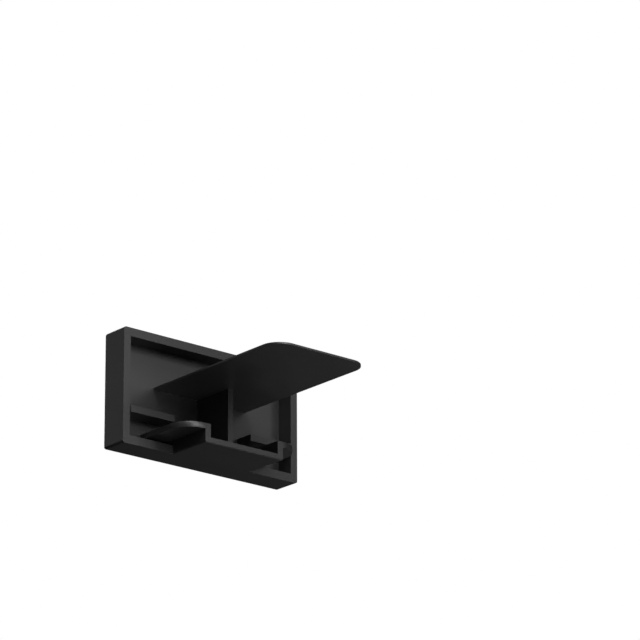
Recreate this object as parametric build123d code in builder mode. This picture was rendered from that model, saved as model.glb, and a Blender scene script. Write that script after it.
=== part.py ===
from build123d import *

import os

# Snap-in end cap for a rectangular aluminium profile, moulded in one piece.
#
# Frame: millimetres, +Z up. The origin lies on the flat underside, half way along the cap, in the
# plane of the open rim that meets the cut end of the profile. +Y points out through the closed
# face of the cap, so what slides into the profile reaches towards -Y.

# --- driving dimensions -------------------------------------------------------------------------

# shallow tray that closes the end of the profile
tray_width = 35.0  # outside, along X
tray_height = 19.0  # outside, along Z
tray_depth = 5.1  # outside, from the open rim to the closed face
side_wall = 1.3  # left and right walls
flat_wall = 1.4  # top and bottom walls
recess_depth = 3.1  # from the open rim to the inside of the closed face
tray_edge_round = 0.3  # outside edges, except the sharp open rim

# hat-shaped skirt: a channel open upwards, with a shelf on each side
channel_width = 15.5  # outside
channel_wall = 1.05
channel_floor = 0.9
skirt_reach = 8.2  # from the rim plane to the ends of the channel and the shelves
shelf_underside = 2.15  # above the underside of the cap
shelf_thickness = 0.9
shelf_width = 4.0  # from the side of the channel to the outer edge of the shelf
shelf_corner = 3.9  # plan radius of the outer corners

# guide tongue that enters the profile
tongue_width = 18.6
tongue_reach = 27.3  # from the rim plane to the tip
tongue_thickness = 0.3
tongue_underside = 11.0  # above the underside of the cap
tongue_corner = 3.2  # plan radius of the two tip corners

# rib that joins the tongue to the floor of the channel
rib_thickness = 1.0
rib_reach = 4.7  # from the rim plane to the free edge

# stop ledges, one on each side of the recess
ledge_underside = 5.15  # above the underside of the cap
ledge_thickness = 1.1
ledge_reach = 0.3  # from the rim plane to the free edge of the ledge
ledge_spacing = 15.3  # clear width between the two ledges

# --- derived ------------------------------------------------------------------------------------

inner_width = tray_width - 2 * side_wall
inner_height = tray_height - 2 * flat_wall
# what stands on the inside of the closed face starts half way through that face
root_y = (recess_depth + tray_depth) / 2
shelf_top = shelf_underside + shelf_thickness
skirt_width = channel_width + 2 * shelf_width

# --- tray ---------------------------------------------------------------------------------------

with BuildPart() as tray:
    with BuildSketch(Plane.XZ) as outside:
        with Locations((0, tray_height / 2)):
            Rectangle(tray_width, tray_height)
    extrude(amount=-tray_depth)
    closed_face_edges = tray.faces().sort_by(Axis.Y)[-1].edges()
    fillet(closed_face_edges + tray.edges().filter_by(Axis.Y), radius=tray_edge_round)
    with BuildSketch(Plane.XZ) as recess:
        with Locations((0, tray_height / 2)):
            Rectangle(inner_width, inner_height)
    extrude(amount=-recess_depth, mode=Mode.SUBTRACT)

# --- skirt --------------------------------------------------------------------------------------

with BuildPart() as skirt:
    with BuildSketch(Plane.XZ.offset(-root_y)) as hat_section:
        with BuildLine():
            Polyline(
                (0, 0),
                (channel_width / 2, 0),
                (channel_width / 2, shelf_underside),
                (skirt_width / 2, shelf_underside),
                (skirt_width / 2, shelf_top),
                (channel_width / 2 - channel_wall, shelf_top),
                (channel_width / 2 - channel_wall, channel_floor),
                (0, channel_floor),
                close=True,
            )
        make_face()
        mirror(about=Plane.YZ)
    extrude(amount=root_y + skirt_reach)
    # the two outer corners of the shelves are rounded in plan
    end_uprights = skirt.edges().filter_by(Axis.Z).group_by(Axis.Y)[0].sort_by(Axis.X)
    fillet([end_uprights[0], end_uprights[-1]], radius=shelf_corner)

# --- whole cap ----------------------------------------------------------------------------------

with BuildPart() as end_cap:
    add(tray.part)
    add(skirt.part)
    # tongue
    with BuildSketch(Plane.XY.offset(tongue_underside)) as tongue_plan:
        with Locations((0, (root_y - tongue_reach) / 2)):
            Rectangle(tongue_width, root_y + tongue_reach)
        fillet(tongue_plan.vertices().group_by(Axis.Y)[0], radius=tongue_corner)
    extrude(amount=tongue_thickness)
    # rib
    with BuildSketch(Plane.XY.offset(channel_floor)) as rib_plan:
        with Locations((0, (root_y - rib_reach) / 2)):
            Rectangle(rib_thickness, root_y + rib_reach)
    extrude(amount=tongue_underside - channel_floor)
    # ledges
    with BuildSketch(Plane.XY.offset(ledge_underside)) as ledge_plan:
        with Locations((0, (root_y - ledge_reach) / 2)):
            Rectangle(inner_width + side_wall, root_y + ledge_reach)
            Rectangle(ledge_spacing, root_y + ledge_reach, mode=Mode.SUBTRACT)
    extrude(amount=ledge_thickness)

end_cap.part.label = "end_cap"

os.makedirs("parts", exist_ok=True)
export_step(end_cap.part, "parts/end_cap.step")
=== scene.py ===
"""Studio scene for a black snap-in end cap, moulded in one piece.

The cap is built here again as one fine mesh, with the small rounds that a mould leaves on its edges,
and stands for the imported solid. Lengths are millimetres until a mesh is finished, and metres after
that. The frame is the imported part's own: +Z up, the open rim in the plane y = 0, the closed face
towards +Y, and the tongue and the skirt towards -Y.
"""

from __future__ import annotations

import logging
import math
from dataclasses import dataclass, field
from enum import Enum

import bmesh
import bpy
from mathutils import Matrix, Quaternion, Vector

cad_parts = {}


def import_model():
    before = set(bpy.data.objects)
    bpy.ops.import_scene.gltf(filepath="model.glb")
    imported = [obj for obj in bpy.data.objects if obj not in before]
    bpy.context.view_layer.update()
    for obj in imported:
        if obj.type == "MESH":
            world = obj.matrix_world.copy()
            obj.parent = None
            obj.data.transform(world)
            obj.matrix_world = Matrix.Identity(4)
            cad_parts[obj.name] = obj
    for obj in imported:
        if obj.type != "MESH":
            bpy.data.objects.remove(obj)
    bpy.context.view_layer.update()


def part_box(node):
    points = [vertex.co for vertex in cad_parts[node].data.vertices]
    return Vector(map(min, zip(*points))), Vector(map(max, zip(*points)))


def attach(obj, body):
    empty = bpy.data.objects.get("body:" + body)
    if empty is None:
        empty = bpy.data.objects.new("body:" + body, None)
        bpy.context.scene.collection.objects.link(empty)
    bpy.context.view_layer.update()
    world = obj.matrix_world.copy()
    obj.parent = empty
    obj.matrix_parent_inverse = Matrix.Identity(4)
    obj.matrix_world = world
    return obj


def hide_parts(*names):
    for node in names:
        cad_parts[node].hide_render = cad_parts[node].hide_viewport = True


LOG = logging.getLogger("end_cap_scene")
NODE = "end_cap"
BODY = "root"
MM = 0.001

Outline = list[tuple[float, float]]


class Along(Enum):
    """The axis that an outline is pushed along, with the outline's own two axes."""

    Y = "y"
    Z = "z"


# --- mesh tools ---------------------------------------------------------------------------------


def arc(
    centre: tuple[float, float], radius: float, start: float, end: float, steps: int
) -> Outline:
    """Points on a round corner.

    Args:
        centre: Middle of the arc.
        radius: Its radius.
        start: First angle in degrees, from the outline's first axis towards its second.
        end: Last angle in degrees.
        steps: Number of equal steps between the two.

    Returns:
        The points, both ends included.
    """
    angles = [math.radians(start + (end - start) * k / steps) for k in range(steps + 1)]
    u, v = centre
    return [(u + radius * math.cos(a), v + radius * math.sin(a)) for a in angles]


def mirrored(half: Outline) -> Outline:
    """The outline that a right half makes together with its mirror image in the line x = 0."""
    return half + [(-x, y) for x, y in reversed(half)]


def prism(outline: Outline, low: float, high: float, along: Along) -> bmesh.types.BMesh:
    """A closed solid with a straight side wall.

    Args:
        outline: Corners in (x, z) when pushed along Y, or in (x, y) when pushed along Z.
        low: Where the solid starts on the axis.
        high: Where it ends.
        along: The axis.

    Returns:
        The solid as a mesh with outward faces.
    """
    bm = bmesh.new()
    rings = []
    for level in (low, high):
        if along is Along.Y:
            ring = [(u, level, v) for u, v in outline]
        else:
            ring = [(u, v, level) for u, v in outline]
        rings.append([bm.verts.new(point) for point in ring])
    bm.faces.new(rings[0])
    bm.faces.new(rings[1])
    count = len(outline)
    for k in range(count):
        nxt = (k + 1) % count
        bm.faces.new((rings[0][k], rings[0][nxt], rings[1][nxt], rings[1][k]))
    bmesh.ops.recalc_face_normals(bm, faces=bm.faces)
    return bm


def block(low: Vector, high: Vector) -> bmesh.types.BMesh:
    """A box between two corners."""
    outline = [(low.x, low.z), (high.x, low.z), (high.x, high.z), (low.x, high.z)]
    return prism(outline, low.y, high.y, Along.Y)


def round_edges(
    bm: bmesh.types.BMesh, edges: list[bmesh.types.BMEdge], radius: float, steps: int
) -> None:
    """Rounds the given edges.

    Args:
        bm: The mesh.
        edges: The edges to round.
        radius: Radius of the round.
        steps: Facets in each round.
    """
    bmesh.ops.bevel(
        bm,
        geom=edges,
        offset=radius,
        offset_type="OFFSET",
        segments=steps,
        profile=0.5,
        affect="EDGES",
        clamp_overlap=True,
    )


def as_object(bm: bmesh.types.BMesh, name: str) -> bpy.types.Object:
    """Turns a mesh under construction into a scene object of that name, and frees it."""
    mesh = bpy.data.meshes.new(name)
    bm.to_mesh(mesh)
    bm.free()
    made = bpy.data.objects.new(name, mesh)
    bpy.context.scene.collection.objects.link(made)
    return made


def combine(target: bpy.types.Object, tool: bpy.types.Object, operation: str) -> None:
    """Joins the tool to the target, or cuts it out, and removes the tool.

    Args:
        target: The solid that is changed.
        tool: The solid that is used up.
        operation: UNION or DIFFERENCE.
    """
    modifier = target.modifiers.new(operation.lower(), "BOOLEAN")
    modifier.operation = operation
    modifier.solver = "EXACT"
    modifier.object = tool
    graph = bpy.context.evaluated_depsgraph_get()
    result = bpy.data.meshes.new_from_object(target.evaluated_get(graph))
    target.modifiers.clear()
    target.data = result
    bpy.data.objects.remove(tool)


# --- finish -------------------------------------------------------------------------------------


@dataclass(frozen=True)
class MouldedPlastic:
    """Black plastic with the fine satin that a polished and lightly eroded mould leaves."""

    name: str = "satin_black_plastic"
    colour: tuple[float, float, float] = (0.012, 0.012, 0.013)
    colour_spread: float = 0.15
    roughness: float = 0.40
    roughness_spread: float = 0.03
    index: float = 1.5
    grain_per_metre: float = 9000.0
    flow_per_metre: float = 160.0
    grain_height: float = 0.000004
    grain_strength: float = 0.5

    def material(self) -> bpy.types.Material:
        """Builds the node material.

        Returns:
            A material whose colour and gloss drift slowly over the surface, under a fine grain.
        """
        made = bpy.data.materials.new(self.name)
        made.use_nodes = True
        made.diffuse_color = (*self.colour, 1.0)
        nodes, links = made.node_tree.nodes, made.node_tree.links
        shader = nodes["Principled BSDF"]
        shader.inputs["IOR"].default_value = self.index
        place = nodes.new("ShaderNodeTexCoord").outputs["Object"]

        flow = nodes.new("ShaderNodeTexNoise")
        flow.inputs["Scale"].default_value = self.flow_per_metre
        flow.inputs["Detail"].default_value = 3.0
        links.new(place, flow.inputs["Vector"])

        gloss = nodes.new("ShaderNodeMapRange")
        gloss.inputs["To Min"].default_value = self.roughness - self.roughness_spread
        gloss.inputs["To Max"].default_value = self.roughness + self.roughness_spread
        links.new(flow.outputs["Fac"], gloss.inputs["Value"])
        links.new(gloss.outputs["Result"], shader.inputs["Roughness"])

        tint = nodes.new("ShaderNodeMix")
        tint.data_type = "RGBA"
        for socket, share in (("A", 1 - self.colour_spread), ("B", 1 + self.colour_spread)):
            tint.inputs[socket].default_value = (*(c * share for c in self.colour), 1.0)
        links.new(flow.outputs["Fac"], tint.inputs["Factor"])
        links.new(tint.outputs["Result"], shader.inputs["Base Color"])

        grain = nodes.new("ShaderNodeTexNoise")
        grain.inputs["Scale"].default_value = self.grain_per_metre
        grain.inputs["Detail"].default_value = 2.0
        links.new(place, grain.inputs["Vector"])
        bump = nodes.new("ShaderNodeBump")
        bump.inputs["Distance"].default_value = self.grain_height
        bump.inputs["Strength"].default_value = self.grain_strength
        links.new(grain.outputs["Fac"], bump.inputs["Height"])
        links.new(bump.outputs["Normal"], shader.inputs["Normal"])
        return made


# --- sub-parts of the moulding, in millimetres --------------------------------------------------


@dataclass
class Tray:
    """Shallow tray that closes the end of the profile."""

    width: float
    height: float
    depth: float
    side_wall: float = 1.3
    flat_wall: float = 1.4
    recess_depth: float = 3.1
    edge_round: float = 0.4
    round_steps: int = 6

    @property
    def inner_width(self) -> float:
        """Clear width of the recess."""
        return self.width - 2 * self.side_wall

    @property
    def root(self) -> float:
        """Where the pieces on the recess floor start, half way through the closed face."""
        return (self.recess_depth + self.depth) / 2

    def solid(self) -> bpy.types.Object:
        """Builds the tray, with every outside edge rounded apart from the open rim."""
        half = self.width / 2
        bm = block(Vector((-half, 0, 0)), Vector((half, self.depth, self.height)))
        soft = [e for e in bm.edges if any(v.co.y > 0 for v in e.verts)]
        round_edges(bm, soft, self.edge_round, self.round_steps)
        tray = as_object(bm, "tray")
        inner = self.inner_width / 2
        low = Vector((-inner, -self.depth, self.flat_wall))
        high = Vector((inner, self.recess_depth, self.height - self.flat_wall))
        combine(tray, as_object(block(low, high), "recess"), "DIFFERENCE")
        return tray


@dataclass
class Skirt:
    """Hat-shaped skirt: a channel open upwards, with a rounded shelf on each side."""

    root: float
    reach: float = 8.2
    channel_width: float = 15.5
    channel_wall: float = 1.05
    channel_floor: float = 0.9
    shelf_underside: float = 2.15
    shelf_thickness: float = 0.9
    shelf_width: float = 4.0
    shelf_corner: float = 3.9
    edge_round: float = 0.25
    wall_overlap: float = 0.2
    corner_steps: int = 28
    round_steps: int = 4

    @property
    def shelf_top(self) -> float:
        """Height of the shelves' upper face."""
        return self.shelf_underside + self.shelf_thickness

    @property
    def channel_inner(self) -> float:
        """Distance of the channel walls' inner faces from the plane x = 0."""
        return self.channel_width / 2 - self.channel_wall

    def channel(self) -> bpy.types.Object:
        """Builds the open channel, with the edges of its lower face rounded."""
        half, inner, top = self.channel_width / 2, self.channel_inner, self.shelf_top
        section = mirrored([(half, 0), (half, top), (inner, top), (inner, self.channel_floor)])
        bm = prism(section, -self.reach, self.root, Along.Y)
        lower = [e for e in bm.edges if all(v.co.z == 0 for v in e.verts)]
        round_edges(bm, lower, self.edge_round, self.round_steps)
        return as_object(bm, "channel")

    def shelves(self) -> bpy.types.Object:
        """Builds both shelves in one mesh, each sunk into the channel wall beside it."""
        inner = self.channel_inner + self.wall_overlap
        edge, corner = self.channel_width / 2 + self.shelf_width, self.shelf_corner
        turn = arc((edge - corner, corner - self.reach), corner, -90, 0, self.corner_steps)
        half_plan = [(inner, -self.reach), *turn, (edge, self.root), (inner, self.root)]
        plates = bmesh.new()
        for side in (1, -1):
            plan = [(side * x, y) for x, y in half_plan]
            plate = prism(plan, self.shelf_underside, self.shelf_top, Along.Z)
            mesh = bpy.data.meshes.new("plate")
            plate.to_mesh(mesh)
            plate.free()
            plates.from_mesh(mesh)
            bpy.data.meshes.remove(mesh)
        return as_object(plates, "shelves")


@dataclass
class Tongue:
    """Thin guide tongue that enters the profile."""

    root: float
    width: float = 18.6
    reach: float = 27.3
    thickness: float = 0.3
    underside: float = 11.0
    corner: float = 3.2
    corner_steps: int = 24

    def solid(self) -> bpy.types.Object:
        """Builds the tongue with its two rounded tip corners."""
        half = self.width / 2
        centre = (half - self.corner, self.corner - self.reach)
        turn = arc(centre, self.corner, -90, 0, self.corner_steps)
        plan = mirrored([*turn, (half, self.root)])
        top = self.underside + self.thickness
        return as_object(prism(plan, self.underside, top, Along.Z), "tongue")


@dataclass
class Rib:
    """Upright rib that joins the tongue to the floor of the channel."""

    root: float
    low: float
    high: float
    thickness: float = 1.0
    reach: float = 4.7

    def solid(self) -> bpy.types.Object:
        """Builds the rib, its ends sunk into the floor and the tongue."""
        half = self.thickness / 2
        low, high = Vector((-half, -self.reach, self.low)), Vector((half, self.root, self.high))
        return as_object(block(low, high), "rib")


@dataclass
class Ledges:
    """Stop ledges, one on each side of the recess."""

    root: float
    wall_face: float
    wall_depth: float
    spacing: float = 15.3
    underside: float = 5.15
    thickness: float = 1.1
    reach: float = 0.3
    setback: float = 0.02

    def solids(self) -> list[bpy.types.Object]:
        """Builds the two ledges, sunk into the side walls behind the plane of the rim."""
        near, face, deep = self.spacing / 2, self.wall_face, self.wall_face + self.wall_depth
        half_plan = [
            (near, -self.reach),
            (face, -self.reach),
            (face, self.setback),
            (deep, self.setback),
            (deep, self.root),
            (near, self.root),
        ]
        made = []
        for side, name in ((-1, "left"), (1, "right")):
            plan = [(side * x, y) for x, y in half_plan]
            ledge = prism(plan, self.underside, self.underside + self.thickness, Along.Z)
            made.append(as_object(ledge, f"{name}_ledge"))
        return made


@dataclass
class EndCap:
    """The whole cap: its sub-parts joined into one moulding, then rounded on its sharp edges."""

    low: Vector
    high: Vector
    finish: MouldedPlastic = field(default_factory=MouldedPlastic)
    sharp_round: float = 0.07
    sharp_steps: int = 2
    sharp_angle: float = 35.0
    flat_angle: float = 1.0
    same_point: float = 1e-4

    def joined(self) -> bpy.types.Object:
        """Builds the sub-parts and joins them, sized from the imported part's box."""
        size = (self.high - self.low) / MM
        tray = Tray(width=size.x, height=size.z, depth=self.high.y / MM)
        skirt = Skirt(root=tray.root)
        tongue = Tongue(root=tray.root, reach=-self.low.y / MM)
        rib = Rib(
            root=tray.root,
            low=skirt.channel_floor / 2,
            high=tongue.underside + tongue.thickness / 2,
        )
        ledges = Ledges(
            root=tray.root, wall_face=tray.inner_width / 2, wall_depth=tray.side_wall / 2
        )
        cap = tray.solid()
        pieces = [skirt.channel(), skirt.shelves(), tongue.solid(), rib.solid(), *ledges.solids()]
        for piece in pieces:
            LOG.info("joining %s: %d faces", piece.name, len(piece.data.polygons))
            combine(cap, piece, "UNION")
        return cap

    def soften(self, cap: bpy.types.Object) -> None:
        """Merges flat neighbours, rounds the sharp edges and sets smooth shading.

        Args:
            cap: The joined moulding, whose mesh is replaced.
        """
        bm = bmesh.new()
        bm.from_mesh(cap.data)
        bmesh.ops.remove_doubles(bm, verts=bm.verts, dist=self.same_point)
        flat = math.radians(self.flat_angle)
        bmesh.ops.dissolve_limit(bm, angle_limit=flat, verts=bm.verts, edges=bm.edges)
        limit = math.radians(self.sharp_angle)
        sharp = [e for e in bm.edges if e.is_manifold and e.calc_face_angle() > limit]
        round_edges(bm, sharp, self.sharp_round, self.sharp_steps)
        bmesh.ops.scale(bm, vec=Vector((MM, MM, MM)), verts=bm.verts)
        for face in bm.faces:
            face.smooth = True
        bm.to_mesh(cap.data)
        bm.free()
        weighted = cap.modifiers.new("flat_faces_stay_flat", "WEIGHTED_NORMAL")
        weighted.keep_sharp = True

    def build(self) -> bpy.types.Object:
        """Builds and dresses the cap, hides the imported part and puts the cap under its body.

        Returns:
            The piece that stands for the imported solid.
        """
        cap = self.joined()
        cap.name = "end_cap_moulding"
        cap.data.name = cap.name
        self.soften(cap)
        cap.data.materials.clear()
        cap.data.materials.append(self.finish.material())
        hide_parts(NODE)
        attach(cap, BODY)
        LOG.info("end cap: %d vertices, %d faces", len(cap.data.vertices), len(cap.data.polygons))
        return cap


# --- studio -------------------------------------------------------------------------------------


def direction(azimuth: float, elevation: float) -> Vector:
    """Unit vector for an azimuth from -Y towards -X and an elevation, both in degrees."""
    a, e = math.radians(azimuth), math.radians(elevation)
    return Vector((-math.sin(a) * math.cos(e), -math.cos(a) * math.cos(e), math.sin(e)))


@dataclass(frozen=True)
class SoftBox:
    """A flat square lamp that faces the cap."""

    name: str
    azimuth: float
    elevation: float
    radiance: float
    distance: float = 0.5
    side: float = 0.22

    def place(self, target: Vector) -> bpy.types.Object:
        """Adds the lamp to the scene.

        Args:
            target: The point that it faces.

        Returns:
            The lamp.
        """
        data = bpy.data.lights.new(self.name, "AREA")
        data.shape = "SQUARE"
        data.size = self.side
        data.energy = self.radiance * math.pi * self.side**2
        lamp = bpy.data.objects.new(self.name, data)
        bpy.context.scene.collection.objects.link(lamp)
        lamp.location = target + direction(self.azimuth, self.elevation) * self.distance
        lamp.rotation_mode = "QUATERNION"
        lamp.rotation_quaternion = (target - lamp.location).to_track_quat("-Z", "Y")
        lamp.visible_camera = False
        return lamp


@dataclass(frozen=True)
class Camera:
    """A long lens below the cap, which looks up at its open side."""

    azimuth: float = 39.19
    elevation: float = -18.31
    distance: float = 0.578
    lens: float = 208.6
    aim_right: float = 0.00991
    aim_up: float = 0.01069
    roll: float = -0.31

    def place(self, middle: Vector) -> bpy.types.Object:
        """Adds the camera and makes it the scene's own.

        Args:
            middle: Middle of the cap, which stays low and left of the picture's centre.

        Returns:
            The camera.
        """
        data = bpy.data.cameras.new("camera")
        data.lens = self.lens
        data.clip_start = 0.05
        camera = bpy.data.objects.new("camera", data)
        bpy.context.scene.collection.objects.link(camera)
        camera.location = middle + direction(self.azimuth, self.elevation) * self.distance
        ahead = (middle - camera.location).normalized()
        right = ahead.cross(Vector((0, 0, 1))).normalized()
        target = middle + right * self.aim_right + right.cross(ahead) * self.aim_up
        camera.rotation_mode = "QUATERNION"
        turn = (target - camera.location).to_track_quat("-Z", "Y")
        camera.rotation_quaternion = turn @ Quaternion((0, 0, 1), math.radians(self.roll))
        bpy.context.scene.camera = camera
        return camera


def lamps() -> tuple[SoftBox, ...]:
    """The lamps all round the cap, each named for where it stands or what it lights."""
    return (
        SoftBox("rim_high_left", azimuth=30, elevation=50, radiance=12.0),
        SoftBox("rim_front", azimuth=10, elevation=15, radiance=8.0),
        SoftBox("rim_right", azimuth=-20, elevation=15, radiance=3.4),
        SoftBox("rim_high_right", azimuth=-30, elevation=50, radiance=1.2),
        SoftBox("low_left", azimuth=30, elevation=-25, radiance=2.0),
        SoftBox("low_right", azimuth=-30, elevation=-25, radiance=2.2),
        SoftBox("underside", azimuth=-110, elevation=-25, radiance=3.0),
        SoftBox(
            "underside_fill", azimuth=0, elevation=-40, radiance=6.0, distance=0.14, side=0.06
        ),
        SoftBox("left_side", azimuth=145, elevation=15, radiance=0.5),
        SoftBox("left_high", azimuth=90, elevation=50, radiance=1.2),
        SoftBox("top", azimuth=0, elevation=85, radiance=1.0),
        SoftBox("closed_face", azimuth=-160, elevation=25, radiance=4.0),
        SoftBox("closed_face_high", azimuth=180, elevation=60, radiance=1.5),
    )


@dataclass
class Studio:
    """White to the camera and dim in reflections, with soft lamps all round the cap."""

    middle: Vector
    lamps: tuple[SoftBox, ...] = field(default_factory=lamps)
    camera: Camera = field(default_factory=Camera)
    floor_level: float = -2.0
    floor_side: float = 16.0
    floor_colour: tuple[float, float, float] = (0.8, 0.8, 0.8)
    floor_roughness: float = 0.8
    surround: float = 0.03

    def white_to_camera(
        self, tree: bpy.types.NodeTree, plain: bpy.types.NodeSocket, out: bpy.types.NodeSocket
    ) -> None:
        """Shows pure white to the camera, and the plain shader to every other ray.

        Args:
            tree: The node tree of the world or the material.
            plain: The shader that lights and reflections see.
            out: The surface socket of the tree's output.
        """
        white = tree.nodes.new("ShaderNodeEmission")
        white.inputs["Color"].default_value = (1.0, 1.0, 1.0, 1.0)
        white.inputs["Strength"].default_value = 1.0
        path = tree.nodes.new("ShaderNodeLightPath")
        seen = tree.nodes.new("ShaderNodeMixShader")
        tree.links.new(path.outputs["Is Camera Ray"], seen.inputs["Fac"])
        tree.links.new(plain, seen.inputs[1])
        tree.links.new(white.outputs["Emission"], seen.inputs[2])
        tree.links.new(seen.outputs["Shader"], out)

    def world(self) -> None:
        """Sets the dim surround that the dark gloss of the cap needs, white behind the cap."""
        world = bpy.data.worlds.new("studio")
        world.use_nodes = True
        nodes = world.node_tree.nodes
        dim, out = nodes["Background"], nodes["World Output"].inputs["Surface"]
        dim.inputs["Color"].default_value = (1.0, 1.0, 1.0, 1.0)
        dim.inputs["Strength"].default_value = self.surround
        self.white_to_camera(world.node_tree, dim.outputs["Background"], out)
        bpy.context.scene.world = world

    def floor(self) -> None:
        """Adds a pale floor, well below the cap because the camera looks up at it."""
        bm = bmesh.new()
        bmesh.ops.create_grid(bm, x_segments=1, y_segments=1, size=self.floor_side / 2)
        floor = as_object(bm, "floor")
        floor.location.z = self.floor_level
        paint = bpy.data.materials.new("floor_paint")
        paint.use_nodes = True
        nodes = paint.node_tree.nodes
        matt, out = nodes["Principled BSDF"], nodes["Material Output"].inputs["Surface"]
        matt.inputs["Base Color"].default_value = (*self.floor_colour, 1.0)
        matt.inputs["Roughness"].default_value = self.floor_roughness
        self.white_to_camera(paint.node_tree, matt.outputs["BSDF"], out)
        floor.data.materials.append(paint)

    def build(self) -> None:
        """Adds the surround, the floor, the lamps and the camera."""
        self.world()
        self.floor()
        for lamp in self.lamps:
            lamp.place(self.middle)
            LOG.info("lamp %s", lamp.name)
        self.camera.place(self.middle)
        bpy.context.scene.view_settings.view_transform = "Standard"


def main() -> None:
    """Builds the cap and its studio."""
    logging.basicConfig(level=logging.INFO, format="%(name)s: %(message)s")
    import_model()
    low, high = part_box(NODE)
    EndCap(low, high).build()
    Studio(middle=(low + high) / 2).build()


if __name__ == "__main__":
    main()
